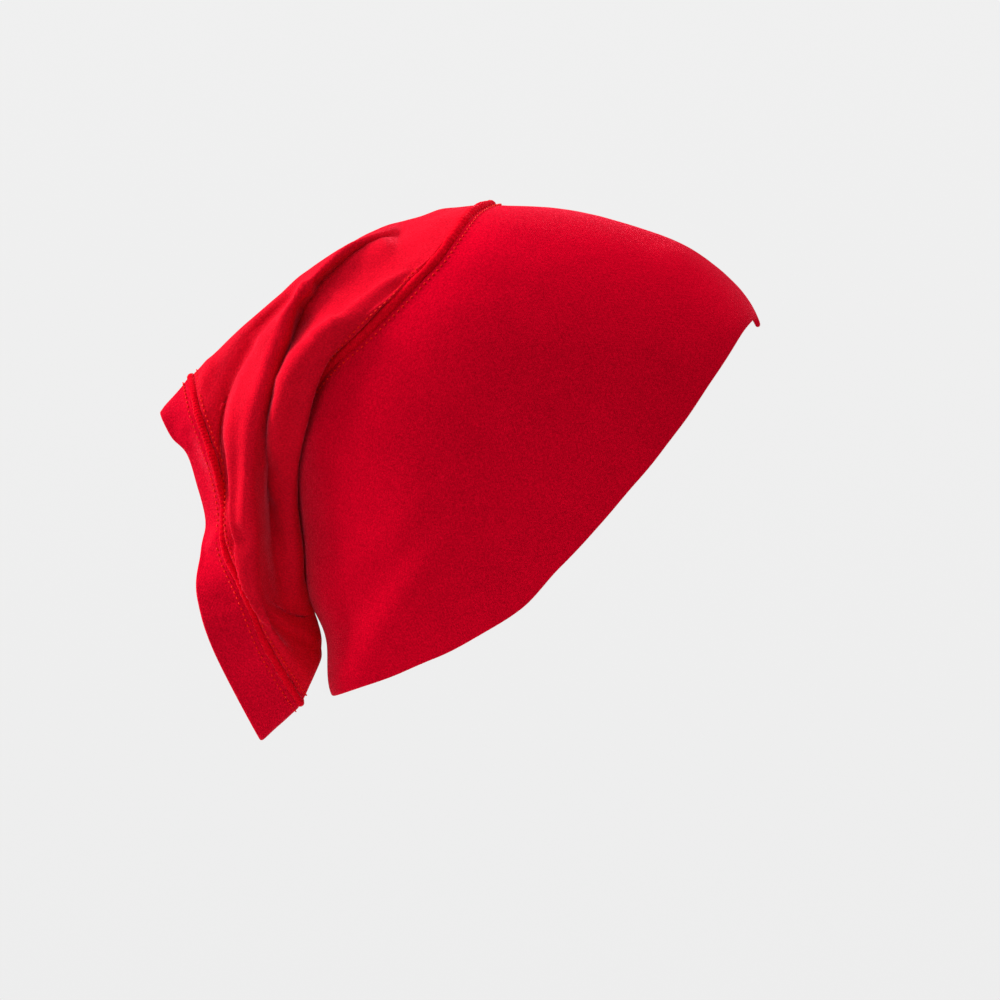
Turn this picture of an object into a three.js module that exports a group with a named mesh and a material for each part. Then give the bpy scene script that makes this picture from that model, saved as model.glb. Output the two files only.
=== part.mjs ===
// A jersey tube cap worn under a headscarf, in its worn shape: a wide doubled band round the head and a
// single-layer tube behind it, slouched into folds, with a hemmed open mouth.
// Millimetres, +Z up, +X towards the face. The origin is the inside of the crown, where a head bears.
import * as THREE from 'three';

// Driving sizes
const HEAD_LENGTH = 186;
const HEAD_WIDTH = 148;
const CROWN_HEIGHT = 84.5; // from the head's centre to the inside of the crown
const CENTRE_FORWARD = -5.8; // the head's centre, from the crown's bearing point
const BAND_WALL = 2; // two layers of jersey
const TUBE_WALL = 1.2;
const HEM_WALL = 2;
const CROWN_WELT = 4.4; // across the sewn welt
const HEM_WELT = 3.4;
const SEAM_GAP = 0.35; // between neighbouring pieces
const SEAM_LIFT = 0.9; // the crown welt's middle, as a share of the band's wall
const CLOTH_GAP = 1; // between the folded tube and the band that it lies on

// Mesh density
const AROUND = 64;
const BAND_ROWS = 8;
const TUBE_ROWS = 26;
const HEM_ROWS = 3;
const WELT_SIDES = { crown: 7, hem: 6 };
const CURVE_SAMPLES = 480;

const HALF_LENGTH = HEAD_LENGTH / 2;
const HALF_WIDTH = HEAD_WIDTH / 2;
const SQUARENESS = 2.4; // 2 is an ellipse across the head, more is boxier

// Side outline of the head: reach is a share of the half length and the crown height
const HEAD_OUTLINE = {
  angle: [0, 15, 30, 40, 50, 60, 75, 90, 105, 120, 150, 180, 200, 210, 220, 230, 237, 250, 270, 300, 330],
  reach: [
    1, 1.02, 1.075, 1.072, 1.053, 1.022, 0.998, 1, 1.02, 1.01, 0.998, 0.985, 0.992, 1.045, 1.15, 1.25,
    1.432, 1.36, 1.27, 1.22, 1.1,
  ],
};

// Front edge of the band on one side, from the forehead over the ear to the nape
const FRONT_EDGE = {
  angle: [
    26.6, 28.7, 26.7, 18.6, 7.3, -9.2, -32.2, -57, -78, -91.5, -101.3, -108.9, -115.1, -120.3, -122.8, -123.5,
  ],
  latitude: [0, 9, 26.8, 41.2, 50.9, 58.4, 62.5, 61.4, 55.8, 47.3, 40.9, 34.2, 28.2, 21.1, 12, 0],
};

// Seam between band and tube on one side, from the crown to the back of the head
const CROWN_SEAM = {
  angle: [98, 105, 113, 123, 135, 148, 160, 172, 184, 194],
  latitude: [0, 25, 37, 42, 44, 43, 37.5, 30, 20, 0],
};

// Fold lines of the tube on one side, from the crown seam to the hem. share is the way round from top to
// bottom; forward, out and up are shares of the half length, half width and crown height from the centre
const STATIONS = [0, 0.13, 0.28, 0.42, 0.56, 0.69, 0.8, 0.885, 0.945, 1];
const OVER_BAND = [0, 0, 0, 0.5, 1, 1, 1, 1, 1, 1]; // where the folds fall forward over the band
const FOLD_LINES = {
  brow: {
    forward: [-0.26, -0.32, -0.41, -0.53, -0.77, -0.87, -0.92, -0.94, -0.93, -0.95],
    out: [0, 0.32, 0.59, 0.76, 0.77, 0.72, 0.58, 0.39, 0.16, 0],
    up: [1.01, 0.94, 0.79, 0.61, 0.4, 0.15, -0.07, -0.27, -0.46, -0.45],
  },
  roll: {
    forward: [-0.35, -0.38, -0.48, -0.6, -0.86, -0.98, -1.01, -0.96, -0.91, -0.9],
    out: [0, 0.32, 0.58, 0.73, 0.76, 0.73, 0.59, 0.41, 0.2, 0],
    up: [1, 0.92, 0.77, 0.61, 0.38, 0.14, -0.08, -0.31, -0.62, -0.62],
  },
  tread: {
    forward: [-0.43, -0.45, -0.58, -0.75, -0.92, -1.02, -1.04, -0.99, -0.93, -0.87],
    out: [0, 0.3, 0.5, 0.58, 0.62, 0.62, 0.5, 0.38, 0.24, 0],
    up: [0.97, 0.9, 0.77, 0.59, 0.36, 0.13, -0.09, -0.34, -0.74, -0.73],
  },
  trough: {
    forward: [-0.5, -0.53, -0.71, -0.91, -0.99, -1.05, -1.06, -1.05, -0.98, -0.86],
    out: [0, 0.24, 0.38, 0.42, 0.42, 0.42, 0.35, 0.3, 0.27, 0],
    up: [0.95, 0.88, 0.79, 0.57, 0.35, 0.13, -0.1, -0.38, -0.81, -0.81],
  },
  crest: {
    forward: [-0.57, -0.57, -0.74, -0.94, -1.02, -1.07, -1.08, -1.08, -1.06, -0.86],
    out: [0, 0.26, 0.45, 0.54, 0.58, 0.61, 0.54, 0.46, 0.38, 0],
    up: [0.93, 0.9, 0.81, 0.59, 0.36, 0.13, -0.1, -0.4, -0.77, -0.87],
  },
  swell: {
    forward: [-0.72, -0.72, -0.83, -1.01, -1.09, -1.14, -1.14, -1.12, -1.08, -0.85],
    out: [0, 0.27, 0.43, 0.53, 0.57, 0.62, 0.59, 0.54, 0.43, 0],
    up: [0.85, 0.82, 0.75, 0.5, 0.3, 0.09, -0.15, -0.44, -0.79, -0.94],
  },
  ledge: {
    forward: [-0.89, -0.91, -0.96, -1.09, -1.18, -1.22, -1.22, -1.2, -1.11, -0.85],
    out: [0, 0.23, 0.34, 0.43, 0.49, 0.54, 0.53, 0.49, 0.43, 0],
    up: [0.73, 0.69, 0.6, 0.42, 0.21, 0.03, -0.2, -0.5, -0.81, -0.99],
  },
  foot: {
    forward: [-0.94, -0.94, -0.99, -1.11, -1.21, -1.24, -1.22, -1.18, -1.09, -0.85],
    out: [0, 0.2, 0.27, 0.34, 0.38, 0.41, 0.45, 0.46, 0.43, 0],
    up: [0.69, 0.67, 0.57, 0.4, 0.19, 0, -0.24, -0.54, -0.85, -1.03],
  },
  pocket: {
    forward: [-1.16, -1.17, -1.19, -1.22, -1.25, -1.2, -1.18, -1.12, -1.03, -0.88],
    out: [0, 0.18, 0.24, 0.27, 0.28, 0.42, 0.43, 0.45, 0.39, 0],
    up: [0.47, 0.45, 0.36, 0.19, 0.02, -0.14, -0.39, -0.66, -0.92, -1.12],
  },
  rim: {
    forward: [-1.38, -1.37, -1.35, -1.31, -1.27, -1.24, -1.23, -1.14, -1.06, -0.93],
    out: [0, 0.12, 0.22, 0.28, 0.32, 0.3, 0.35, 0.39, 0.32, 0],
    up: [0.24, 0.19, 0.08, -0.05, -0.19, -0.36, -0.56, -0.77, -0.99, -1.24],
  },
  lip: {
    forward: [-1.5, -1.49, -1.45, -1.39, -1.35, -1.31, -1.33, -1.34, -1.27, -1.09],
    out: [0, 0.04, 0.07, 0.11, 0.12, 0.12, 0.19, 0.3, 0.3, 0],
    up: [0.08, 0.05, -0.03, -0.1, -0.23, -0.42, -0.56, -0.77, -1.01, -1.4],
  },
};

const FOLDS = Object.keys(FOLD_LINES).slice(0, -2); // those of the tube alone

const centre = new THREE.Vector3(CENTRE_FORWARD, 0, -CROWN_HEIGHT);

// A smooth curve through values at uneven keys, repeated every period
function smooth(keys, values, period) {
  const count = keys.length;
  const key = (i) => keys[((i % count) + count) % count] + period * Math.floor(i / count);
  const value = (i) => values[((i % count) + count) % count];
  const slope = (i) => {
    const before = key(i) - key(i - 1);
    const after = key(i + 1) - key(i);
    const rise = (value(i) - value(i - 1)) / before;
    const next = (value(i + 1) - value(i)) / after;
    return (rise * after + next * before) / (before + after);
  };
  return (x) => {
    const wrapped = keys[0] + ((((x - keys[0]) % period) + period) % period);
    let i = 0;
    while (i + 1 < count && keys[i + 1] <= wrapped) i += 1;
    const width = key(i + 1) - key(i);
    const u = (wrapped - key(i)) / width;
    const u2 = u * u;
    const u3 = u2 * u;
    return (2 * u3 - 3 * u2 + 1) * value(i) + (u3 - 2 * u2 + u) * width * slope(i)
      + (3 * u2 - 2 * u3) * value(i + 1) + (u3 - u2) * width * slope(i + 1);
  };
}

// A column given for one side from top to bottom, carried on round the other side. side is 1 for a
// column that is alike on both sides and -1 for one that changes sign
function aroundBoth(shares, column, side) {
  const keys = shares.map((share) => share / 2);
  const back = shares.slice(1, -1).reverse().map((share) => 1 - share / 2);
  const mirrored = column.slice(1, -1).reverse().map((value) => side * value);
  return smooth([...keys, ...back], [...column, ...mirrored], 1);
}

const reachAt = smooth(HEAD_OUTLINE.angle, HEAD_OUTLINE.reach, 360);

// The head's surface in a direction: angle round the side view, latitude out towards -Y, in degrees
function headPoint(angle, latitude, lift = 0) {
  const a = THREE.MathUtils.degToRad(angle);
  const l = THREE.MathUtils.degToRad(latitude);
  const across = Math.abs(Math.cos(l)) / reachAt(angle);
  const aside = Math.abs(Math.sin(l));
  const size = (across ** SQUARENESS + aside ** SQUARENESS) ** (-1 / SQUARENESS);
  const from = new THREE.Vector3(
    HALF_LENGTH * size * Math.cos(l) * Math.cos(a),
    -HALF_WIDTH * size * Math.sin(l),
    CROWN_HEIGHT * size * Math.cos(l) * Math.sin(a),
  );
  return from.multiplyScalar(1 + lift / from.length()).add(centre);
}

// How far a point stands off the head's surface, along the line from the centre
function standOff(point) {
  const from = point.clone().sub(centre);
  const x = from.x / HALF_LENGTH;
  const z = from.z / CROWN_HEIGHT;
  const reach = reachAt(THREE.MathUtils.radToDeg(Math.atan2(z, x)));
  const level = ((Math.hypot(x, z) / reach) ** SQUARENESS
    + Math.abs(from.y / HALF_WIDTH) ** SQUARENESS) ** (1 / SQUARENESS);
  return from.length() * (1 - 1 / level);
}

// Moves a point of cloth out until it stands at least the given distance off the head
function restOnHead(point, least) {
  const short = least - standOff(point);
  if (short <= 0) return point;
  const from = point.clone().sub(centre);
  return from.multiplyScalar(1 + short / from.length()).add(centre);
}

// A closed line on the head, as directions at even steps of its length
function headLine(table) {
  const last = table.angle.length - 1;
  const shares = table.angle.map((_, i) => i / last);
  const angle = aroundBoth(shares, table.angle, 1);
  const latitude = aroundBoth(shares, table.latitude, -1);
  const lengths = [0];
  for (let i = 1; i <= CURVE_SAMPLES; i += 1) {
    const from = headPoint(angle((i - 1) / CURVE_SAMPLES), latitude((i - 1) / CURVE_SAMPLES));
    const to = headPoint(angle(i / CURVE_SAMPLES), latitude(i / CURVE_SAMPLES));
    lengths.push(lengths[i - 1] + from.distanceTo(to));
  }
  return (around) => {
    const wanted = around * lengths[CURVE_SAMPLES];
    let i = 0;
    while (i + 1 < CURVE_SAMPLES && lengths[i + 1] <= wanted) i += 1;
    const u = (i + (wanted - lengths[i]) / (lengths[i + 1] - lengths[i])) / CURVE_SAMPLES;
    return { angle: angle(u), latitude: latitude(u) };
  };
}

const frontEdge = headLine(FRONT_EDGE);
const crownSeam = headLine(CROWN_SEAM);

function foldLine(table) {
  const forward = aroundBoth(STATIONS, table.forward, 1);
  const out = aroundBoth(STATIONS, table.out, -1);
  const up = aroundBoth(STATIONS, table.up, 1);
  return (around) => new THREE.Vector3(
    HALF_LENGTH * forward(around),
    -HALF_WIDTH * out(around),
    CROWN_HEIGHT * up(around),
  ).add(centre);
}

const foldLines = Object.fromEntries(
  Object.entries(FOLD_LINES).map(([name, table]) => [name, foldLine(table)]),
);

function direction({ angle, latitude }) {
  const a = THREE.MathUtils.degToRad(angle);
  const l = THREE.MathUtils.degToRad(latitude);
  return new THREE.Vector3(Math.cos(l) * Math.cos(a), Math.sin(l), Math.cos(l) * Math.sin(a));
}

// A point of the band between its front edge at share 0 and the crown seam at share 1
function bandPoint(around, share, lift) {
  const from = direction(frontEdge(around));
  const to = direction(crownSeam(around));
  const turn = from.angleTo(to);
  const way = from.multiplyScalar(Math.sin((1 - share) * turn))
    .add(to.multiplyScalar(Math.sin(share * turn)))
    .normalize();
  const angle = THREE.MathUtils.radToDeg(Math.atan2(way.z, way.x));
  const latitude = THREE.MathUtils.radToDeg(Math.asin(way.y));
  return headPoint(angle, latitude, lift);
}

const seamPoint = (around) => bandPoint(around, 1, BAND_WALL * SEAM_LIFT);

// The share of the band's width at which its rear edge stops, clear of the crown welt
function bandEnd(around) {
  const seam = seamPoint(around);
  let near = 1;
  let far = 0.5;
  for (let step = 0; step < 20; step += 1) {
    const middle = (near + far) / 2;
    const tooClose = bandPoint(around, middle, BAND_WALL).distanceTo(seam) < CROWN_WELT / 2 + SEAM_GAP;
    if (tooClose) near = middle;
    else far = middle;
  }
  return far;
}

const overBand = aroundBoth(STATIONS, OVER_BAND, 1);

// The point beside a ring-shaped line, square to it and towards another point
function beside(line, around, towards, distance) {
  const step = 0.5 / AROUND;
  const along = line(around + step).sub(line(around - step)).normalize();
  const from = line(around);
  const way = towards.clone().sub(from);
  way.addScaledVector(along, -way.dot(along)).normalize();
  return from.addScaledVector(way, distance);
}

// Where the tube leaves the crown welt: behind it, or over its top where the folds fall forward
function tubeStart(around) {
  const seam = seamPoint(around);
  const back = seam.clone().sub(bandPoint(around, bandEnd(around), BAND_WALL * SEAM_LIFT)).normalize();
  const out = seam.clone().sub(centre).normalize();
  const towards = seam.clone().addScaledVector(out, overBand(around));
  towards.addScaledVector(back, 1 - overBand(around));
  const clear = (CROWN_WELT + TUBE_WALL * overBand(around)) / 2 + SEAM_GAP;
  return beside(seamPoint, around, towards, clear);
}

// The tube's middle line from the crown seam to the hem seam at one place round it
function tubeProfile(around) {
  const least = overBand(around) * BAND_WALL + CLOTH_GAP + TUBE_WALL / 2;
  const folds = FOLDS.map((name) => restOnHead(foldLines[name](around), least));
  const end = beside(foldLines.rim, around, folds[folds.length - 1], HEM_WELT / 2 + SEAM_GAP);
  const curve = new THREE.CatmullRomCurve3([tubeStart(around), ...folds, end], false, 'centripetal');
  curve.arcLengthDivisions = CURVE_SAMPLES;
  return curve.getSpacedPoints(TUBE_ROWS);
}

// A closed shell: a grid of points closed round its first index, given a wall about its middle
function shell(grid, wall) {
  const around = grid.length;
  const rows = grid[0].length;
  const normals = grid.map((line, i) => line.map((_, j) => {
    const across = grid[(i + 1) % around][j].clone().sub(grid[(i + around - 1) % around][j]);
    const along = line[Math.min(j + 1, rows - 1)].clone().sub(line[Math.max(j - 1, 0)]);
    return across.cross(along).normalize();
  }));
  const positions = [];
  for (const side of [0.5, -0.5]) {
    grid.forEach((line, i) => line.forEach((point, j) => {
      positions.push(...point.clone().addScaledVector(normals[i][j], side * wall).toArray());
    }));
  }
  const at = (side, i, j) => (side * around + (i % around)) * rows + j;
  const index = [];
  const quad = (a, b, c, d) => index.push(a, b, c, a, c, d);
  for (let i = 0; i < around; i += 1) {
    for (let j = 0; j + 1 < rows; j += 1) {
      quad(at(0, i, j), at(0, i + 1, j), at(0, i + 1, j + 1), at(0, i, j + 1));
      quad(at(1, i, j), at(1, i, j + 1), at(1, i + 1, j + 1), at(1, i + 1, j));
    }
    quad(at(0, i, 0), at(1, i, 0), at(1, i + 1, 0), at(0, i + 1, 0));
    quad(at(0, i, rows - 1), at(0, i + 1, rows - 1), at(1, i + 1, rows - 1), at(1, i, rows - 1));
  }
  return facingOut(positions, index);
}

// A closed round cord through a ring of points
function ring(points, diameter, sides) {
  const count = points.length;
  const positions = [];
  const index = [];
  points.forEach((point, i) => {
    const along = points[(i + 1) % count].clone().sub(points[(i + count - 1) % count]).normalize();
    const out = point.clone().sub(centre);
    out.addScaledVector(along, -out.dot(along)).normalize();
    const across = along.clone().cross(out);
    for (let k = 0; k < sides; k += 1) {
      const turn = (2 * Math.PI * k) / sides;
      positions.push(...point.clone()
        .addScaledVector(out, (Math.cos(turn) * diameter) / 2)
        .addScaledVector(across, (Math.sin(turn) * diameter) / 2)
        .toArray());
      const next = (k + 1) % sides;
      const a = i * sides;
      const b = ((i + 1) % count) * sides;
      index.push(a + k, a + next, b + next, a + k, b + next, b + k);
    }
  });
  return facingOut(positions, index);
}

function facingOut(positions, index) {
  const geometry = new THREE.BufferGeometry();
  geometry.setAttribute('position', new THREE.Float32BufferAttribute(positions, 3));
  const corner = (i) => new THREE.Vector3().fromArray(positions, 3 * index[i]);
  let volume = 0;
  for (let i = 0; i < index.length; i += 3) volume += corner(i).dot(corner(i + 1).cross(corner(i + 2)));
  if (volume < 0) {
    for (let i = 0; i < index.length; i += 3) [index[i], index[i + 1]] = [index[i + 1], index[i]];
  }
  geometry.setIndex(index);
  geometry.computeVertexNormals();
  return geometry;
}

const ringSteps = Array.from({ length: AROUND }, (_, i) => i / AROUND);

function frontBand() {
  const grid = ringSteps.map((around) => {
    const last = bandEnd(around);
    return Array.from({ length: BAND_ROWS + 1 }, (_, j) => (
      bandPoint(around, (last * j) / BAND_ROWS, BAND_WALL / 2)
    ));
  });
  return shell(grid, BAND_WALL);
}

function backTube() {
  return shell(ringSteps.map(tubeProfile), TUBE_WALL);
}

function hemBand() {
  const clear = HEM_WELT / 2 + SEAM_GAP;
  const grid = ringSteps.map((around) => {
    const to = foldLines.lip(around);
    const from = beside(foldLines.rim, around, to, clear);
    return Array.from({ length: HEM_ROWS + 1 }, (_, j) => from.clone().lerp(to, j / HEM_ROWS));
  });
  return shell(grid, HEM_WALL);
}

const jersey = (colour) => new THREE.MeshStandardMaterial({ color: colour, roughness: 0.9, metalness: 0 });

const group = new THREE.Group();
function add(name, geometry, colour) {
  const mesh = new THREE.Mesh(geometry, jersey(colour));
  mesh.name = name;
  group.add(mesh);
}

add('front_band', frontBand(), 0xb8021e);
add('crown_seam', ring(ringSteps.map(seamPoint), CROWN_WELT, WELT_SIDES.crown), 0xc0061f);
add('back_tube', backTube(), 0xc4061f);
add('hem_seam', ring(ringSteps.map(foldLines.rim), HEM_WELT, WELT_SIDES.hem), 0xc0061f);
add('hem_band', hemBand(), 0xb8021e);

export default group;
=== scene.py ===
import math

import bpy
import numpy as np
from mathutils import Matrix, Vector, noise


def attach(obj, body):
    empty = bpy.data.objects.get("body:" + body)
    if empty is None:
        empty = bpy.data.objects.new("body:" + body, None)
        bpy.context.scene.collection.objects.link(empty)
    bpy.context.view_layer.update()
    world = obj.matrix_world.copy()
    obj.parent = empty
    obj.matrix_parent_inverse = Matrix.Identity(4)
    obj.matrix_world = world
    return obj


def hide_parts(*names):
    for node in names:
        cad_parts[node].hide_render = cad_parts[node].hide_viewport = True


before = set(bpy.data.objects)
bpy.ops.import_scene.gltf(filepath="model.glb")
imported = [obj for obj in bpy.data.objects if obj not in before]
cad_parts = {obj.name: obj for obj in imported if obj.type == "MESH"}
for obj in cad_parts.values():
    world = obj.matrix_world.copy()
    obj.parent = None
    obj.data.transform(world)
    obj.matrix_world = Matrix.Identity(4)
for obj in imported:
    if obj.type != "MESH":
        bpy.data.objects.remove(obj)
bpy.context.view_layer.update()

# Sizes in metres, as in the frame
HEAD_LENGTH = 0.186
HEAD_WIDTH = 0.148
CROWN_HEIGHT = 0.0845
CENTRE = np.array([-0.0058, 0.0, -CROWN_HEIGHT])
BAND_WALL = 0.002
TUBE_WALL = 0.0012
HEM_WALL = 0.002
CROWN_WELT = 0.0044
HEM_WELT = 0.0034
SEAM_GAP = 0.00035
SEAM_LIFT = 0.9
CLOTH_GAP = 0.001
SQUARENESS = 2.4

MM = 0.001

# Mesh density
AROUND = 400
BAND_ROWS = 110
TUBE_ROWS = 116
HEM_ROWS = 30
WELT_AROUND = 1500
WELT_SIDES = 12
THREAD_STEPS = 5
THREAD_SIDES = 6
CURVE_SAMPLES = 1600
SPAN_SAMPLES = 16
EDGE_ROWS = 4
EDGE_TURNS = [math.radians(turn) for turn in (60, 30, 0, -30, -60)]
HALVINGS = 20

# Sewing; the tube is stitched beside the crown seam only below a height
STITCH_PITCH = 0.0023
STITCH_LENGTH = 0.0014
STITCH_SET = 0.0015
TUBE_STITCHES_TOP = -0.022
THREAD = 0.0006
THREAD_RISE = 0.6
THREAD_TIP = 0.04
THREAD_TWIST = 0.0006
THREAD_RELIEF = 0.00004
WELT_GATHER = 0.035
WELT_SWELL = 0.22
WELT_WAVE = 0.006

# Knit and nap
WALE = 0.0008
COURSE = 0.0006
KNIT_LEAN = 0.5
LOOP_HEIGHT = 0.25
RIB_HEIGHT = 0.5
KNIT_BUMP = 0.5
NAP_SIZE = 0.0007
NAP_HEIGHT = 0.0002
NAP_DETAIL = 4.0
WORN_SIZE = 0.02
WORN_DETAIL = 2.0

# Shade and roughness as (slope, level) over the nap, the knit, the worn patches or the thread's twist
NAP_SHADE = (1.3, 0.35)
KNIT_SHADE = (0.22, 0.89)
WORN_SHADE = (0.24, 0.88)
CLOTH_ROUGHNESS = (0.2, 0.72)
THREAD_WORN_SHADE = (0.4, 0.8)
THREAD_TWIST_SHADE = 0.12
THREAD_ROUGHNESS = (0.05, 0.5)
THREAD_SHINE = 0.1

# Sheen of the brushed cloth, and the share of light that comes through it
BAND_SHEEN = 0.32
TUBE_SHEEN = 0.6
HEM_SHEEN = 0.5
SEAM_SHEEN = 0.5
SHEEN_ROUGHNESS = 0.25
SHEEN_TINT = (1, 0.13, 0.21, 1)
TUBE_THROUGH = 0.22
HEM_THROUGH = 0.08

# Colours, linear
BAND_COLOUR = (0.51, 0.0006, 0.013)
# The tube's red is the band's jersey red made lighter: painted light for the extra brightness the
# single-layer tube shows
TUBE_COLOUR = (0.62, 0.004, 0.018)
HEM_COLOUR = (0.52, 0.0015, 0.015)
SEAM_COLOUR = (0.54, 0.001, 0.009)
THROUGH_COLOUR = (0.8, 0.003, 0.01)
THREAD_COLOUR = (0.8, 0.005, 0.002)

# Creases as (width, height, line), in millimetres in the side view; a height below zero is a dip
BAND_CREASES = [
    (1.6, 0.5, [(-79, -65), (-73, -63), (-66, -61)]),
    (1.6, 0.35, [(-83, -71), (-76, -68)]),
    (2.5, 0.3, [(-84, -82), (-72, -78)]),
]
TUBE_CREASES = [
    (2.6, -0.8, [(-96, -34), (-102, -40), (-107, -46)]),
    (4.2, -1.7, [(-110, -54), (-113, -63), (-116.5, -76), (-117, -92), (-116.5, -111), (-114, -127)]),
    (2.7, 2.4, [
        (-89, -31), (-94, -40), (-98, -48), (-102, -56), (-105, -65), (-107.5, -74), (-110.5, -84),
        (-112, -100), (-113, -119),
    ]),
    (4.0, 2.3, [(-60, -16), (-71, -21), (-81, -30), (-87, -38)]),
    (4.5, 1.6, [(-78, -36), (-90, -50), (-98, -65)]),
    (1.4, 1.0, [(-51, -25), (-60, -30), (-69, -37), (-75, -43), (-84, -50)]),
    (2.2, 1.7, [(-78, -45), (-84, -50), (-92, -58), (-98, -70), (-101, -82), (-103, -98), (-101, -109)]),
    (2.0, -0.9, [(-54, -30), (-63, -37), (-72, -48)]),
    (3.0, -0.7, [(-92, -73), (-95.5, -88), (-97, -104)]),
    (1.6, 0.5, [(-65, -16), (-57, -13)]),
    (2.0, 1.2, [(-126, -60), (-130, -69)]),
    (3.0, 0.9, [(-98, -117), (-91, -140), (-88, -165)]),
]
HEM_CREASES = [
    (1.5, 0.6, [(-121, -156), (-113, -152)]),
    (2.0, 0.6, [(-126, -129), (-121, -123)]),
    (2.2, -0.6, [(-134, -86), (-126, -108)]),
    (1.8, 0.5, [(-131, -77), (-127, -96)]),
]

# Waves of unevenness as (size, height)
BAND_WAVES = [(0.02, 0.0003), (0.006, 0.00006)]
TUBE_WAVES = [(0.022, 0.0007), (0.007, 0.0002)]
HEM_WAVES = [(0.016, 0.0006), (0.006, 0.0002)]

# The photograph's frame: metres to a pixel, and the pixel at the frame's origin
PIXEL = 0.000385
PHOTO_SIZE = 1000
ORIGIN_PIXEL = (540, 211)
CAMERA_DISTANCE = 5
SENSOR_MM = 36

# Studio
CAP_MIDDLE = (-0.03, 0, -0.1)
WORLD_LEVEL = 0.6
WORLD_UP = 0.25
WORLD_AWAY = 0.26
FLOOR_HEIGHT = -0.37
FLOOR_RADIUS = 0.6
FLOOR_SIDES = 96
FLOOR_COLOUR = (0.6, 0.6, 0.6, 1)
FLOOR_ROUGHNESS = 0.9

# Lights as (place, size, power), in metres and watts, turned to the middle of the cap
LIGHTS = {
    "key": ((-0.4, 0.1, 2.0), 0.6, 18),
    "front": ((-0.9, -1.9, 0.9), 1.2, 10),
    "left": ((-1.8, 0.4, 0.9), 0.6, 68),
    "right": ((1.3, 0.6, 1.2), 0.8, 10),
}

HALF_SIZES = np.array([HEAD_LENGTH / 2, HEAD_WIDTH / 2, CROWN_HEIGHT])

# Side outline of the head: reach is a share of the half length and the crown height
HEAD_OUTLINE = {
    "angle": [0, 15, 30, 40, 50, 60, 75, 90, 105, 120, 150, 180, 200, 210, 220, 230, 237, 250, 270, 300, 330],
    "reach": [
        1, 1.02, 1.075, 1.072, 1.053, 1.022, 0.998, 1, 1.02, 1.01, 0.998, 0.985, 0.992, 1.045, 1.15, 1.25,
        1.432, 1.36, 1.27, 1.22, 1.1,
    ],
}

# Front edge of the band on one side, from the forehead over the ear to the nape
FRONT_EDGE = {
    "angle": [
        26.6, 28.7, 26.7, 18.6, 7.3, -9.2, -32.2, -57, -78, -91.5, -101.3, -108.9, -115.1, -120.3, -122.8,
        -123.5,
    ],
    "latitude": [0, 9, 26.8, 41.2, 50.9, 58.4, 62.5, 61.4, 55.8, 47.3, 40.9, 34.2, 28.2, 21.1, 12, 0],
}

# Seam between band and tube on one side, from the crown to the back of the head
CROWN_SEAM = {
    "angle": [98, 105, 113, 123, 135, 148, 160, 172, 184, 194],
    "latitude": [0, 25, 37, 42, 44, 43, 37.5, 30, 20, 0],
}

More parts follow.
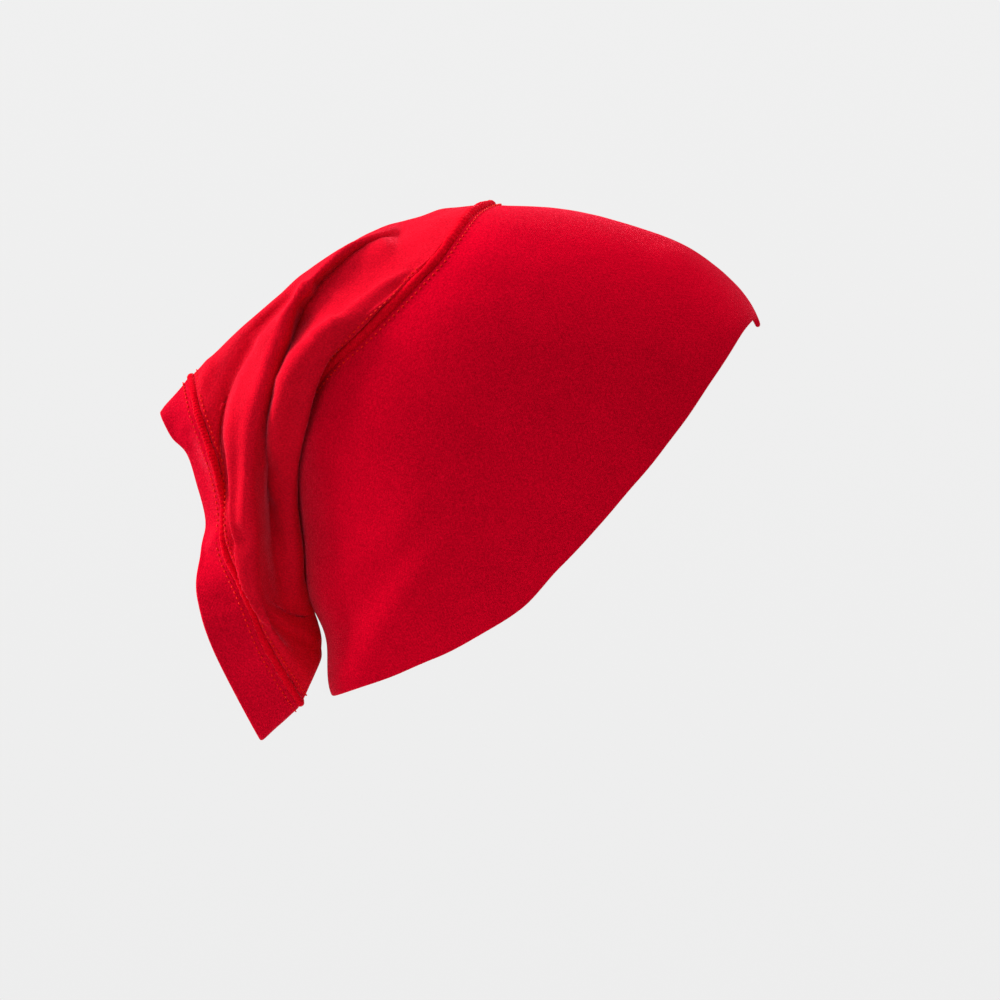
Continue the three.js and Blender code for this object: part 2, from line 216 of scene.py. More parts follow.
# Fold lines of the tube on one side, from the crown seam to the hem, at stations from top to bottom
STATIONS = [0, 0.13, 0.28, 0.42, 0.56, 0.69, 0.8, 0.885, 0.945, 1]
OVER_BAND = [0, 0, 0, 0.5, 1, 1, 1, 1, 1, 1]
FOLD_LINES = {
    "brow": {
        "forward": [-0.26, -0.32, -0.41, -0.53, -0.77, -0.87, -0.92, -0.94, -0.93, -0.95],
        "out": [0, 0.32, 0.59, 0.76, 0.77, 0.72, 0.58, 0.39, 0.16, 0],
        "up": [1.01, 0.94, 0.79, 0.61, 0.4, 0.15, -0.07, -0.27, -0.46, -0.45],
    },
    "roll": {
        "forward": [-0.35, -0.38, -0.48, -0.6, -0.86, -0.98, -1.01, -0.96, -0.91, -0.9],
        "out": [0, 0.32, 0.58, 0.73, 0.76, 0.73, 0.59, 0.41, 0.2, 0],
        "up": [1, 0.92, 0.77, 0.61, 0.38, 0.14, -0.08, -0.31, -0.62, -0.62],
    },
    "tread": {
        "forward": [-0.43, -0.45, -0.58, -0.75, -0.92, -1.02, -1.04, -0.99, -0.93, -0.87],
        "out": [0, 0.3, 0.5, 0.58, 0.62, 0.62, 0.5, 0.38, 0.24, 0],
        "up": [0.97, 0.9, 0.77, 0.59, 0.36, 0.13, -0.09, -0.34, -0.74, -0.73],
    },
    "trough": {
        "forward": [-0.5, -0.53, -0.71, -0.91, -0.99, -1.05, -1.06, -1.05, -0.98, -0.86],
        "out": [0, 0.24, 0.38, 0.42, 0.42, 0.42, 0.35, 0.3, 0.27, 0],
        "up": [0.95, 0.88, 0.79, 0.57, 0.35, 0.13, -0.1, -0.38, -0.81, -0.81],
    },
    "crest": {
        "forward": [-0.57, -0.57, -0.74, -0.94, -1.02, -1.07, -1.08, -1.08, -1.06, -0.86],
        "out": [0, 0.26, 0.45, 0.54, 0.58, 0.61, 0.54, 0.46, 0.38, 0],
        "up": [0.93, 0.9, 0.81, 0.59, 0.36, 0.13, -0.1, -0.4, -0.77, -0.87],
    },
    "swell": {
        "forward": [-0.72, -0.72, -0.83, -1.01, -1.09, -1.14, -1.14, -1.12, -1.08, -0.85],
        "out": [0, 0.27, 0.43, 0.53, 0.57, 0.62, 0.59, 0.54, 0.43, 0],
        "up": [0.85, 0.82, 0.75, 0.5, 0.3, 0.09, -0.15, -0.44, -0.79, -0.94],
    },
    "ledge": {
        "forward": [-0.89, -0.91, -0.96, -1.09, -1.18, -1.22, -1.22, -1.2, -1.11, -0.85],
        "out": [0, 0.23, 0.34, 0.43, 0.49, 0.54, 0.53, 0.49, 0.43, 0],
        "up": [0.73, 0.69, 0.6, 0.42, 0.21, 0.03, -0.2, -0.5, -0.81, -0.99],
    },
    "foot": {
        "forward": [-0.94, -0.94, -0.99, -1.11, -1.21, -1.24, -1.22, -1.18, -1.09, -0.85],
        "out": [0, 0.2, 0.27, 0.34, 0.38, 0.41, 0.45, 0.46, 0.43, 0],
        "up": [0.69, 0.67, 0.57, 0.4, 0.19, 0, -0.24, -0.54, -0.85, -1.03],
    },
    "pocket": {
        "forward": [-1.16, -1.17, -1.19, -1.22, -1.25, -1.2, -1.18, -1.12, -1.03, -0.88],
        "out": [0, 0.18, 0.24, 0.27, 0.28, 0.42, 0.43, 0.45, 0.39, 0],
        "up": [0.47, 0.45, 0.36, 0.19, 0.02, -0.14, -0.39, -0.66, -0.92, -1.12],
    },
    "rim": {
        "forward": [-1.38, -1.37, -1.35, -1.31, -1.27, -1.24, -1.23, -1.14, -1.06, -0.93],
        "out": [0, 0.12, 0.22, 0.28, 0.32, 0.3, 0.35, 0.39, 0.32, 0],
        "up": [0.24, 0.19, 0.08, -0.05, -0.19, -0.36, -0.56, -0.77, -0.99, -1.24],
    },
    "lip": {
        "forward": [-1.5, -1.49, -1.45, -1.39, -1.35, -1.31, -1.33, -1.34, -1.27, -1.09],
        "out": [0, 0.04, 0.07, 0.11, 0.12, 0.12, 0.19, 0.3, 0.3, 0],
        "up": [0.08, 0.05, -0.03, -0.1, -0.23, -0.42, -0.56, -0.77, -1.01, -1.4],
    },
}

# The folds lie between the two seams; the rim carries the hem seam and the lip is the hem's free edge
FOLDS = list(FOLD_LINES)[:-2]


def smooth(keys, values, period):
    """A smooth curve through values at uneven keys, repeated every period."""
    keys = np.asarray(keys, float)
    values = np.asarray(values, float)
    k = np.concatenate([keys[-2:] - period, keys, keys[:3] + period])
    v = np.concatenate([values[-2:], values, values[:3]])
    width = np.diff(k)
    rise = np.diff(v) / width
    slope = np.zeros(len(k))
    slope[1:-1] = (rise[:-1] * width[1:] + rise[1:] * width[:-1]) / (width[:-1] + width[1:])

    def at(x):
        wrapped = keys[0] + np.mod(np.asarray(x, float) - keys[0], period)
        i = np.clip(np.searchsorted(k, wrapped, side="right") - 1, 1, len(k) - 3)
        w = width[i]
        u = (wrapped - k[i]) / w
        u2, u3 = u * u, u * u * u
        return (
            (2 * u3 - 3 * u2 + 1) * v[i]
            + (u3 - 2 * u2 + u) * w * slope[i]
            + (3 * u2 - 2 * u3) * v[i + 1]
            + (u3 - u2) * w * slope[i + 1]
        )

    return at


def around_both(shares, column, side):
    """A column for one side, carried on round the other: side is -1 where it changes sign."""
    shares = np.asarray(shares, float)
    column = np.asarray(column, float)
    keys = np.concatenate([shares / 2, 1 - shares[1:-1][::-1] / 2])
    return smooth(keys, np.concatenate([column, side * column[1:-1][::-1]]), 1)


reach_at = smooth(HEAD_OUTLINE["angle"], HEAD_OUTLINE["reach"], 360)


def head_point(angle, latitude, lift=0.0):
    """The head's surface in a direction, in degrees, lifted along the line from the centre."""
    a, l = np.radians(angle), np.radians(latitude)
    across = np.abs(np.cos(l)) / reach_at(angle)
    size = (across**SQUARENESS + np.abs(np.sin(l)) ** SQUARENESS) ** (-1 / SQUARENESS)
    way = np.stack([np.cos(l) * np.cos(a), -np.sin(l), np.cos(l) * np.sin(a)], axis=-1)
    out = way * size[..., None] * HALF_SIZES
    length = np.linalg.norm(out, axis=-1, keepdims=True)
    return out * (1 + np.asarray(lift)[..., None] / length) + CENTRE


def rest_on_head(points, least):
    """Moves points out until they stand at least the given distance off the head."""
    out = points - CENTRE
    share = out / HALF_SIZES
    reach = reach_at(np.degrees(np.arctan2(share[..., 2], share[..., 0])))
    round_it = np.hypot(share[..., 0], share[..., 2]) / reach
    level = (round_it**SQUARENESS + np.abs(share[..., 1]) ** SQUARENESS) ** (1 / SQUARENESS)
    length = np.linalg.norm(out, axis=-1)
    short = np.maximum(least - length * (1 - 1 / level), 0)
    return out * (1 + short / length)[..., None] + CENTRE


def head_line(table):
    """A closed line on the head, as directions at even steps of its length."""
    shares = np.linspace(0, 1, len(table["angle"]))
    angle = around_both(shares, table["angle"], 1)
    latitude = around_both(shares, table["latitude"], -1)
    steps = np.linspace(0, 1, CURVE_SAMPLES + 1)
    points = head_point(angle(steps), latitude(steps))
    lengths = np.concatenate([[0], np.cumsum(np.linalg.norm(np.diff(points, axis=0), axis=1))])

    def at(around):
        u = np.interp(np.mod(around, 1) * lengths[-1], lengths, steps)
        return angle(u), latitude(u)

    return at


front_edge = head_line(FRONT_EDGE)
crown_seam = head_line(CROWN_SEAM)


def fold_line(table):
    """A closed fold line of the tube, as points at shares of the way round."""
    sides = {"forward": 1, "out": -1, "up": 1}
    columns = [around_both(STATIONS, table[name], side) for name, side in sides.items()]

    def at(around):
        forward, out, up = (column(around) for column in columns)
        return np.stack([forward, -out, up], axis=-1) * HALF_SIZES + CENTRE

    return at


fold_lines = {name: fold_line(table) for name, table in FOLD_LINES.items()}
over_band = around_both(STATIONS, OVER_BAND, 1)


def direction(angle, latitude):
    """A unit vector with its latitude counted along the second axis."""
    a, l = np.radians(angle), np.radians(latitude)
    return np.stack([np.cos(l) * np.cos(a), np.sin(l), np.cos(l) * np.sin(a)], axis=-1)


def band_point(around, share, lift):
    """A point of the band between its front edge at share 0 and the crown seam at share 1."""
    start = direction(*front_edge(around))
    end = direction(*crown_seam(around))
    turn = np.arccos(np.clip((start * end).sum(-1), -1, 1))
    way = start * np.sin((1 - share) * turn)[..., None] + end * np.sin(share * turn)[..., None]
    way /= np.linalg.norm(way, axis=-1, keepdims=True)
    angle = np.degrees(np.arctan2(way[..., 2], way[..., 0]))
    return head_point(angle, np.degrees(np.arcsin(way[..., 1])), lift)


def seam_point(around):
    """A point of the crown seam, lifted off the head by a share of the band's wall."""
    return band_point(around, np.ones_like(around), BAND_WALL * SEAM_LIFT * np.ones_like(around))


def unit(vectors):
    return vectors / np.linalg.norm(vectors, axis=-1, keepdims=True)


def band_end(around):
    """The share of the band's width at which its rear edge stops, clear of the crown welt."""
    seam = seam_point(around)
    near, far = np.ones_like(around), np.full_like(around, 0.5)
    for _ in range(HALVINGS):
        middle = (near + far) / 2
        gap = np.linalg.norm(band_point(around, middle, BAND_WALL * np.ones_like(around)) - seam, axis=-1)
        close = gap < CROWN_WELT / 2 + SEAM_GAP
        near = np.where(close, middle, near)
        far = np.where(close, far, middle)
    return far


def beside(line, around, towards, distance):
    """The points beside a ring-shaped line, square to it and towards other points."""
    step = 0.5 / AROUND
    along = unit(line(around + step) - line(around - step))
    start = line(around)
    way = towards - start
    way = unit(way - along * (way * along).sum(-1, keepdims=True))
    return start + way * np.asarray(distance)[..., None]


def tube_start(around):
    """The sewn edge of the tube: behind the crown welt, or outside it where the tube hangs over the band."""
    seam = seam_point(around)
    lift = BAND_WALL * SEAM_LIFT * np.ones_like(around)
    back = unit(seam - band_point(around, band_end(around), lift))
    out = unit(seam - CENTRE)
    over = over_band(around)[..., None]
    clear = (CROWN_WELT + TUBE_WALL * over_band(around)) / 2 + SEAM_GAP
    return beside(seam_point, around, seam + out * over + back * (1 - over), clear)


def catmull(points, samples):
    """Smooth curves through points[k, n, 3], with as many samples on each span."""
    points = np.concatenate([2 * points[:1] - points[1:2], points, 2 * points[-1:] - points[-2:-1]])
    gap = np.sqrt(np.linalg.norm(np.diff(points, axis=0), axis=-1))[..., None]
    rows = []
    for k in range(1, len(points) - 2):
        p0, p1, p2, p3 = points[k - 1 : k + 3]
        g0, g1, g2 = gap[k - 1 : k + 2]
        m1 = ((p1 - p0) / g0 - (p2 - p0) / (g0 + g1) + (p2 - p1) / g1) * g1
        m2 = ((p2 - p1) / g1 - (p3 - p1) / (g1 + g2) + (p3 - p2) / g2) * g1
        for u in np.linspace(0, 1, samples, endpoint=False):
            u2, u3 = u * u, u * u * u
            rows.append(
                (2 * u3 - 3 * u2 + 1) * p1 + (u3 - 2 * u2 + u) * m1 + (3 * u2 - 2 * u3) * p2 + (u3 - u2) * m2
            )
    rows.append(points[-2])
    return np.array(rows)


def evenly(curves, count):
    """Curves[k, n, 3] again, with count even steps of length on each."""
    step = np.linalg.norm(np.diff(curves, axis=0), axis=-1)
    length = np.concatenate([np.zeros((1, step.shape[1])), np.cumsum(step, axis=0)])
    out = np.empty((count + 1, curves.shape[1], 3))
    for n in range(curves.shape[1]):
        wanted = np.linspace(0, length[-1, n], count + 1)
        for c in range(3):
            out[:, n, c] = np.interp(wanted, length[:, n], curves[:, n, c])
    return out


def tube_grid(around):
    """Rows of the tube from the crown seam over its folds to the hem seam."""
    least = over_band(around) * BAND_WALL + CLOTH_GAP + TUBE_WALL / 2
    folds = [rest_on_head(fold_lines[name](around), least) for name in FOLDS]
    end = beside(fold_lines["rim"], around, folds[-1], np.full_like(around, HEM_WELT / 2 + SEAM_GAP))
    curves = catmull(np.array([tube_start(around), *folds, end]), SPAN_SAMPLES)
    return evenly(curves, TUBE_ROWS)


def band_grid(around):
    """Rows of the band from its front edge to the crown seam."""
    last = band_end(around)
    lift = np.full_like(around, BAND_WALL / 2)
    return np.array([band_point(around, last * share, lift) for share in np.linspace(0, 1, BAND_ROWS + 1)])


def hem_grid(around):
    """Rows of the hem from its seam to its free edge."""
    end = fold_lines["lip"](around)
    start = beside(fold_lines["rim"], around, end, np.full_like(around, HEM_WELT / 2 + SEAM_GAP))
    return np.array([start + (end - start) * share for share in np.linspace(0, 1, HEM_ROWS + 1)])


def outward(grid):
    """Outward normals of a grid[row, around, 3] that closes round its second index."""
    across = np.roll(grid, -1, axis=1) - np.roll(grid, 1, axis=1)
    normals = unit(np.cross(across, np.gradient(grid, axis=0)))
    spread = grid - grid.mean(axis=1, keepdims=True)
    return normals * np.sign((normals * spread).sum())


def inside_edges(grid):
    """A share for each row of a grid that falls to 0 at its sewn edges."""
    row = np.arange(len(grid))
    return np.clip(np.minimum(row, row[::-1]) / EDGE_ROWS, 0, 1)[:, None]


def creased(grid, creases):
    """A grid with soft ridges and dips along lines in the side view."""
    rise = np.zeros(grid.shape[:2])
    side = grid[..., [0, 2]]
    for width, height, line in creases:
        off = np.full(grid.shape[:2], np.inf)
        points = np.array(line, float) * MM
        for start, end in zip(points[:-1], points[1:]):
            step = end - start
            share = np.clip((side - start) @ step / (step @ step), 0, 1)
            off = np.minimum(off, np.linalg.norm(side - start - share[..., None] * step, axis=-1))
        rise += height * MM * np.exp(-((off / (width * MM)) ** 2))
    return grid + outward(grid) * (rise * inside_edges(grid))[..., None]


def uneven(grid, waves):
    """A grid moved in and out by smooth noise, for each (size, height) of its waves."""
    rise = np.zeros(grid.shape[:2])
    for size, height in waves:
        flat = [noise.noise(Vector(point)) for point in grid.reshape(-1, 3) / size]
        rise += np.array(flat).reshape(rise.shape) * height
    return grid + outward(grid) * (rise * inside_edges(grid))[..., None]


def build_mesh(name, lines, faces, uvs):
    """A smooth mesh from lines of points, and its coordinates along the cloth in metres."""
    mesh = bpy.data.meshes.new(name)
    mesh.from_pydata(np.concatenate(lines).tolist(), [], np.concatenate(faces).tolist())
    mesh.uv_layers.new(name="cloth").data.foreach_set("uv", np.concatenate(uvs).ravel())
    mesh.update()
    if sum(p.center.dot(p.normal) * p.area for p in mesh.polygons) < 0:
        mesh.flip_normals()
    mesh.polygons.foreach_set("use_smooth", [True] * len(mesh.polygons))
    obj = bpy.data.objects.new(name, mesh)
    bpy.context.scene.collection.objects.link(obj)
    return obj


def join_lines(lines, u, v):
    """Faces and coordinates between closed lines of points, the last joined to the first again."""
    count, around = len(lines), len(lines[0])
    i = np.arange(around)
    j = (i + 1) % around
    faces, uvs = [], []
    for k in range(count):
        a, b = k * around, ((k + 1) % count) * around
        faces.append(np.stack([a + i, a + j, b + j, b + i], axis=-1))
        here, there = np.full(around, v[k]), np.full(around, v[k + 1])
        uvs.append(np.stack([u[:-1], here, u[1:], here, u[1:], there, u[:-1], there], axis=-1))
    return faces, uvs


def shell(name, grid, wall):
    """A closed cloth shell about a grid, with rounded edges."""
    normals = outward(grid)
    into_start = unit(grid[0] - grid[1])
    into_end = unit(grid[-1] - grid[-2])
    start = [grid[0] + (normals[0] * math.sin(t) + into_start * math.cos(t)) * wall / 2 for t in EDGE_TURNS]
    end = [grid[-1] - (normals[-1] * math.sin(t) - into_end * math.cos(t)) * wall / 2 for t in EDGE_TURNS]
    lines = [*(grid + normals * wall / 2)[::-1], *start, *(grid - normals * wall / 2), *end]
    down = np.linalg.norm(np.diff(grid, axis=0), axis=-1).mean(axis=1)
    down = np.concatenate([[0], np.cumsum(down)])
    ring = np.linalg.norm(np.roll(grid, -1, axis=1) - grid, axis=-1).sum(axis=1).mean()
    u = np.linspace(0, ring, grid.shape[1] + 1)
    v = [*down[::-1], *np.zeros(len(EDGE_TURNS)), *down, *np.full(len(EDGE_TURNS) + 1, down[-1])]
    return build_mesh(name, lines, *join_lines(lines, u, v))


def welt(name, points, diameter, stitches):
    """A round welt through a ring of points, gathered a little at each stitch and not quite even."""
    along = unit(np.roll(points, -1, axis=0) - np.roll(points, 1, axis=0))
    out = points - CENTRE
    out = unit(out - along * (out * along).sum(-1, keepdims=True))
    across = np.cross(along, out)
    share = np.arange(len(points)) / len(points)
    swell = np.array([noise.noise(Vector(point)) for point in points / WELT_WAVE])
    radius = diameter / 2 * (1 + WELT_GATHER * np.cos(2 * np.pi * stitches * share) + WELT_SWELL * swell)
    turns = np.linspace(0, 2 * np.pi, WELT_SIDES, endpoint=False)
    lines = [points + (out * math.cos(t) + across * math.sin(t)) * radius[:, None] for t in turns]
    length = np.linalg.norm(np.roll(points, -1, axis=0) - points, axis=-1).sum()
    u = np.linspace(0, length, len(points) + 1)
    v = np.linspace(0, math.pi * diameter, WELT_SIDES + 1)
    return build_mesh(name, lines, *join_lines(lines, u, v))


def stitch_row(places, out):
    """Lines of points for a row of short arched threads laid end to end round a ring of places."""
    along = unit(np.roll(places, -1, axis=0) - np.roll(places, 1, axis=0))
    across = np.cross(along, out)
    rings = []
    for s in np.linspace(-1, 1, THREAD_STEPS):
        middle = places + along * (s * STITCH_LENGTH / 2) + out * (THREAD * (THREAD_RISE - s * s))
        thin = THREAD / 2 * math.sqrt(1 + THREAD_TIP - s * s)
        turns = np.linspace(0, 2 * np.pi, THREAD_SIDES, endpoint=False)
        rings.append([middle + (out * math.cos(t) + across * math.sin(t)) * thin for t in turns])
    return np.array(rings)


def stitches(name, rows):
    """One mesh of the threads in several rows, each sewn below its top height."""
    lines, faces, uvs, first = [], [], [], 0
    for places, out, top in rows:
        rings = stitch_row(places, out)[:, :, places[:, 2] < top]
        count = rings.shape[2]
        i = np.arange(count)
        for s in range(THREAD_STEPS - 1):
            for k in range(THREAD_SIDES):
                a = first + (s * THREAD_SIDES + k) * count
                b = first + (s * THREAD_SIDES + (k + 1) % THREAD_SIDES) * count
                step = THREAD_SIDES * count
                faces.append(np.stack([a + i, b + i, b + step + i, a + step + i], axis=-1))
                corner = np.array([s, k, s, k + 1, s + 1, k + 1, s + 1, k]) * THREAD / 2
                uvs.append(np.tile(corner, (count, 1)))
        lines.append(rings.reshape(-1, 3))
        first += rings.shape[0] * rings.shape[1] * count
    return build_mesh(name, lines, faces, uvs)


def even_places(line):
    """Even shares round a ring-shaped line, one for each stitch."""
    steps = np.arange(CURVE_SAMPLES + 1) / CURVE_SAMPLES
    points = line(steps)
    lengths = np.concatenate([[0], np.cumsum(np.linalg.norm(np.diff(points, axis=0), axis=-1))])
    count = round(lengths[-1] / STITCH_PITCH)
    return np.interp((np.arange(count) + 0.5) / count * lengths[-1], lengths, steps)


def on_grid(grid, distance, wall):
    """Places on the outside of a grid at a distance from its first row, and the way out there."""
    out = outward(grid)[2]
    way = unit(grid[2] - grid[0])
    return grid[0] + way * distance + out * wall / 2, out


class Nodes:
    """Short calls for the nodes of one material."""

    def __init__(self, material):
        material.use_nodes = True
        self.tree = material.node_tree
        self.shader = self.tree.nodes["Principled BSDF"]

    def new(self, kind, **settings):
        node = self.tree.nodes.new(kind)
        for key, value in settings.items():
            setattr(node, key, value)
        return node

    def put(self, socket, value):
        if isinstance(value, bpy.types.NodeSocket):
            self.tree.links.new(value, socket)
        else:
            socket.default_value = value

    def math(self, operation, *values):
        node = self.new("ShaderNodeMath", operation=operation)
        for socket, value in zip(node.inputs, values):
            self.put(socket, value)
        return node.outputs[0]

    def noise(self, size, detail):
        node = self.new("ShaderNodeTexNoise")
        self.put(node.inputs["Vector"], self.new("ShaderNodeTexCoord").outputs["Object"])
        self.put(node.inputs["Scale"], 1 / size)
        self.put(node.inputs["Detail"], detail)
        return node.outputs["Fac"]

    def along_cloth(self):
        node = self.new("ShaderNodeSeparateXYZ")
        self.put(node.inputs[0], self.new("ShaderNodeUVMap", uv_map="cloth").outputs[0])
        return node.outputs[0], node.outputs[1]


def knit_height(nodes):
    """Rows of V-shaped loops, from 0 to about 1."""
    u, v = nodes.along_cloth()
    across = nodes.math("ADD", u, nodes.math("MULTIPLY", v, KNIT_LEAN))
    place = nodes.math("FRACT", nodes.math("DIVIDE", across, WALE))
    side = nodes.math("ABSOLUTE", nodes.math("MULTIPLY_ADD", place, 2.0, -1.0))
    turn = nodes.math("MULTIPLY_ADD", side, math.pi, nodes.math("MULTIPLY", v, 2 * math.pi / COURSE))
    loop = nodes.math("MULTIPLY_ADD", nodes.math("SINE", turn), LOOP_HEIGHT, LOOP_HEIGHT)
    rib = nodes.math("MULTIPLY", nodes.math("SUBTRACT", 1.0, side), RIB_HEIGHT)
    return nodes.math("ADD", loop, rib)


def jersey_material(name, colour, sheen, through=0.0):
    """Brushed jersey: a knit under a soft nap, with sheen, and a share of light through the cloth."""
    material = bpy.data.materials.new(name)
    nodes = Nodes(material)
    knit = knit_height(nodes)
    nap = nodes.noise(NAP_SIZE, NAP_DETAIL)
    worn = nodes.noise(WORN_SIZE, WORN_DETAIL)
    shade = nodes.math("MULTIPLY_ADD", nap, *NAP_SHADE)
    shade = nodes.math("MULTIPLY", shade, nodes.math("MULTIPLY_ADD", knit, *KNIT_SHADE))
    shade = nodes.math("MULTIPLY", shade, nodes.math("MULTIPLY_ADD", worn, *WORN_SHADE))
    tinted = nodes.new("ShaderNodeVectorMath", operation="SCALE")
    nodes.put(tinted.inputs[0], colour)
    nodes.put(tinted.inputs["Scale"], shade)
    nodes.put(nodes.shader.inputs["Base Color"], tinted.outputs[0])
    nodes.put(nodes.shader.inputs["Roughness"], nodes.math("MULTIPLY_ADD", nap, *CLOTH_ROUGHNESS))
    bump = nodes.new("ShaderNodeBump")
    nodes.put(bump.inputs["Strength"], 1)
    nodes.put(bump.inputs["Distance"], NAP_HEIGHT)
    nodes.put(bump.inputs["Height"], nodes.math("MULTIPLY_ADD", knit, KNIT_BUMP, nap))
    nodes.put(nodes.shader.inputs["Normal"], bump.outputs[0])
    nodes.put(nodes.shader.inputs["Sheen Weight"], nodes.math("MULTIPLY_ADD", nap, 3 * sheen, -sheen / 2))
    nodes.shader.inputs["Sheen Roughness"].default_value = SHEEN_ROUGHNESS
    nodes.shader.inputs["Sheen Tint"].default_value = SHEEN_TINT
    nodes.shader.inputs["Specular IOR Level"].default_value = 0
    if through:
        thin = nodes.new("ShaderNodeBsdfTranslucent")
        nodes.put(thin.inputs["Color"], (*THROUGH_COLOUR, 1))
        mix = nodes.new("ShaderNodeMixShader")
        nodes.put(mix.inputs[0], through)
        nodes.put(mix.inputs[1], nodes.shader.outputs[0])
        nodes.put(mix.inputs[2], thin.outputs[0])
        nodes.put(nodes.tree.nodes["Material Output"].inputs["Surface"], mix.outputs[0])
    return material


def thread_material():
    """Twisted sewing thread, a little brighter and more orange than the jersey."""
    material = bpy.data.materials.new("red_thread")
    nodes = Nodes(material)
    u, v = nodes.along_cloth()
    twist = nodes.math("SINE", nodes.math("MULTIPLY", nodes.math("ADD", u, v), 2 * math.pi / THREAD_TWIST))
    worn = nodes.math("MULTIPLY_ADD", nodes.noise(WORN_SIZE, WORN_DETAIL), *THREAD_WORN_SHADE)
    shade = nodes.math("MULTIPLY_ADD", twist, THREAD_TWIST_SHADE, worn)
    tinted = nodes.new("ShaderNodeVectorMath", operation="SCALE")
    nodes.put(tinted.inputs[0], THREAD_COLOUR)
    nodes.put(tinted.inputs["Scale"], shade)
    nodes.put(nodes.shader.inputs["Base Color"], tinted.outputs[0])
    nodes.put(nodes.shader.inputs["Roughness"], nodes.math("MULTIPLY_ADD", twist, *THREAD_ROUGHNESS))
    nodes.shader.inputs["Specular IOR Level"].default_value = THREAD_SHINE
    bump = nodes.new("ShaderNodeBump")
    nodes.put(bump.inputs["Distance"], THREAD_RELIEF)
    nodes.put(bump.inputs["Height"], twist)
    nodes.put(nodes.shader.inputs["Normal"], bump.outputs[0])
    return material


def dress(obj, node, material):
    """Gives a piece its material and slot, sets it under the root body, and hides the node it replaces, if
    any.
    """
    obj.data.materials.append(material)
    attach(obj, "root")
    if node:
        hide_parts(node)
    return obj


def build_cap():
    around = np.arange(AROUND) / AROUND
    welt_around = np.arange(WELT_AROUND) / WELT_AROUND
    band_red = jersey_material("band_jersey", BAND_COLOUR, BAND_SHEEN)
    # The tube's jersey takes the lighter red, which carries painted light
    tube_red = jersey_material("tube_jersey", TUBE_COLOUR, TUBE_SHEEN, TUBE_THROUGH)
    hem_red = jersey_material("hem_jersey", HEM_COLOUR, HEM_SHEEN, HEM_THROUGH)
    seam_red = jersey_material("seam_jersey", SEAM_COLOUR, SEAM_SHEEN)
    thread = thread_material()

    band = shell("band_cloth", uneven(creased(band_grid(around), BAND_CREASES), BAND_WAVES), BAND_WALL)
    tube = shell("tube_cloth", uneven(creased(tube_grid(around), TUBE_CREASES), TUBE_WAVES), TUBE_WALL)
    hem = shell("hem_cloth", uneven(creased(hem_grid(around), HEM_CREASES), HEM_WAVES), HEM_WALL)
    dress(band, "front_band", band_red)
    dress(tube, "back_tube", tube_red)
    dress(hem, "hem_band", hem_red)

    seam_places = even_places(seam_point)
    rim_places = even_places(fold_lines["rim"])
    crown = welt("crown_welt", seam_point(welt_around), CROWN_WELT, len(seam_places))
    dress(crown, "crown_seam", seam_red)
    rim = welt("hem_welt", fold_lines["rim"](welt_around), HEM_WELT, len(rim_places))
    dress(rim, "hem_seam", seam_red)

    crown_rows = [
        (*on_grid(band_grid(seam_places)[::-1], STITCH_SET, BAND_WALL), math.inf),
        (*on_grid(tube_grid(seam_places), STITCH_SET, TUBE_WALL), TUBE_STITCHES_TOP),
    ]
    hem_rows = [
        (*on_grid(hem_grid(rim_places), STITCH_SET, HEM_WALL), math.inf),
        (*on_grid(tube_grid(rim_places)[::-1], STITCH_SET, TUBE_WALL), math.inf),
    ]
    crown_thread = dress(stitches("crown_stitches", crown_rows), None, thread)
    hem_thread = dress(stitches("hem_stitches", hem_rows), None, thread)


def add_camera():
    """The photograph's side view."""
    middle = PHOTO_SIZE / 2
    target = Vector(((middle - ORIGIN_PIXEL[0]) * PIXEL, 0, (ORIGIN_PIXEL[1] - middle) * PIXEL))
    camera = bpy.data.cameras.new("camera")
    camera.sensor_width = SENSOR_MM
    camera.lens = SENSOR_MM * CAMERA_DISTANCE / (PHOTO_SIZE * PIXEL)
    obj = bpy.data.objects.new("camera", camera)
    obj.location = target + Vector((0, -CAMERA_DISTANCE, 0))
    obj.rotation_euler = (math.pi / 2, 0, 0)
    bpy.context.scene.collection.objects.link(obj)
    bpy.context.scene.camera = obj


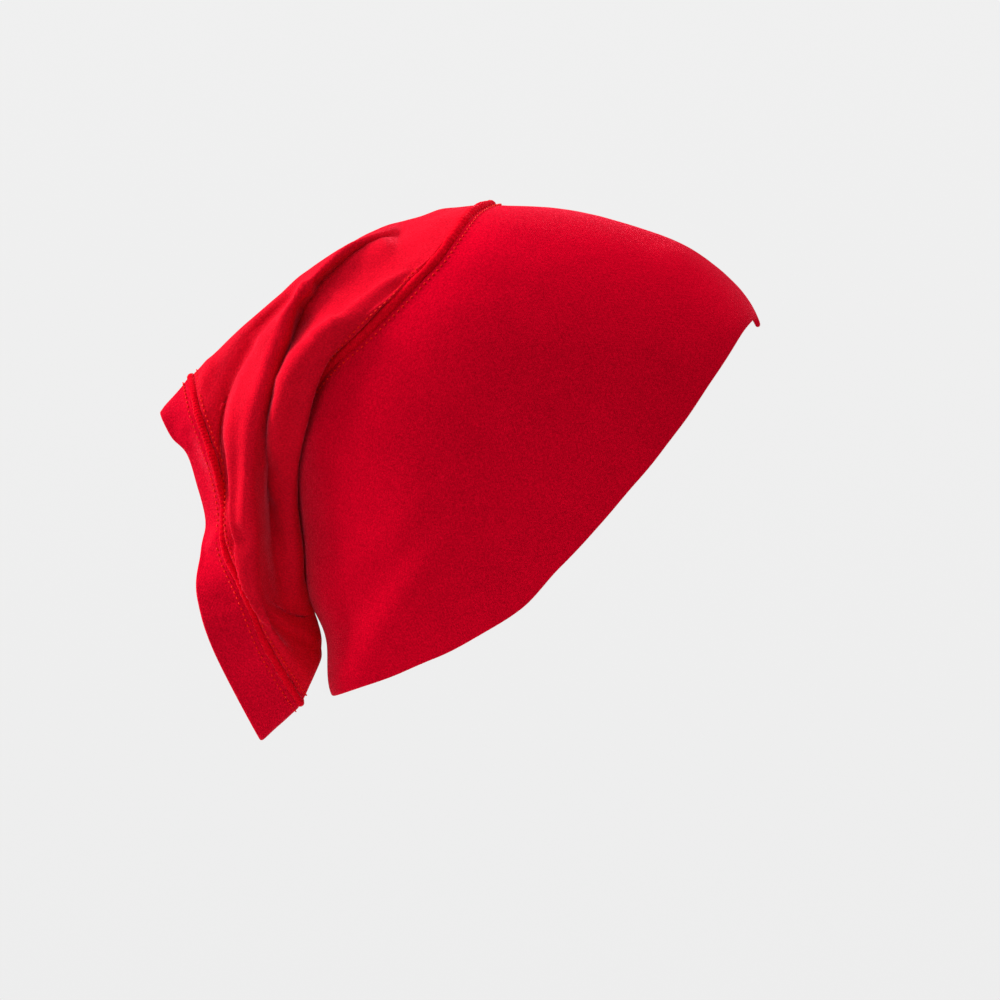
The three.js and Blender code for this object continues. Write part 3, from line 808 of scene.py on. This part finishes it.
def add_area_light(name, place, size, power):
    light = bpy.data.lights.new(name, "AREA")
    light.size = size
    light.energy = power
    obj = bpy.data.objects.new(name, light)
    obj.location = place
    obj.rotation_euler = (Vector(CAP_MIDDLE) - Vector(place)).to_track_quat("-Z", "Y").to_euler()
    bpy.context.scene.collection.objects.link(obj)


def add_surroundings():
    """White studio surroundings, brighter above and behind the cap than below and in front."""
    world = bpy.data.worlds.new("world")
    bpy.context.scene.world = world
    world.use_nodes = True
    tree = world.node_tree
    split = tree.nodes.new("ShaderNodeSeparateXYZ")
    tree.links.new(tree.nodes.new("ShaderNodeTexCoord").outputs["Generated"], split.inputs[0])
    strength = None
    for output, slope in ((2, WORLD_UP), (1, WORLD_AWAY)):
        add = tree.nodes.new("ShaderNodeMath")
        add.operation = "MULTIPLY_ADD"
        tree.links.new(split.outputs[output], add.inputs[0])
        add.inputs[1].default_value = slope
        if strength is None:
            add.inputs[2].default_value = WORLD_LEVEL
        else:
            tree.links.new(strength, add.inputs[2])
        strength = add.outputs[0]
    background = tree.nodes["Background"]
    background.inputs["Color"].default_value = (1, 1, 1, 1)
    tree.links.new(strength, background.inputs["Strength"])


def add_floor():
    """A pale floor below the photograph's view."""
    mesh = bpy.data.meshes.new("floor")
    turns = np.linspace(0, 2 * np.pi, FLOOR_SIDES, endpoint=False)
    points = np.stack([np.cos(turns), np.sin(turns), np.zeros(len(turns))], axis=-1) * FLOOR_RADIUS
    points += np.array([CAP_MIDDLE[0], 0, FLOOR_HEIGHT])
    mesh.from_pydata(points.tolist(), [], [list(range(len(turns)))])
    floor = bpy.data.objects.new("floor", mesh)
    bpy.context.scene.collection.objects.link(floor)
    material = bpy.data.materials.new("pale_floor")
    nodes = Nodes(material)
    nodes.shader.inputs["Base Color"].default_value = FLOOR_COLOUR
    nodes.shader.inputs["Roughness"].default_value = FLOOR_ROUGHNESS
    mesh.materials.append(material)


build_cap()
add_camera()
for light_name, (light_place, light_size, light_power) in LIGHTS.items():
    add_area_light(light_name, light_place, light_size, light_power)
add_surroundings()
add_floor()
bpy.context.scene.view_settings.view_transform = "Standard"
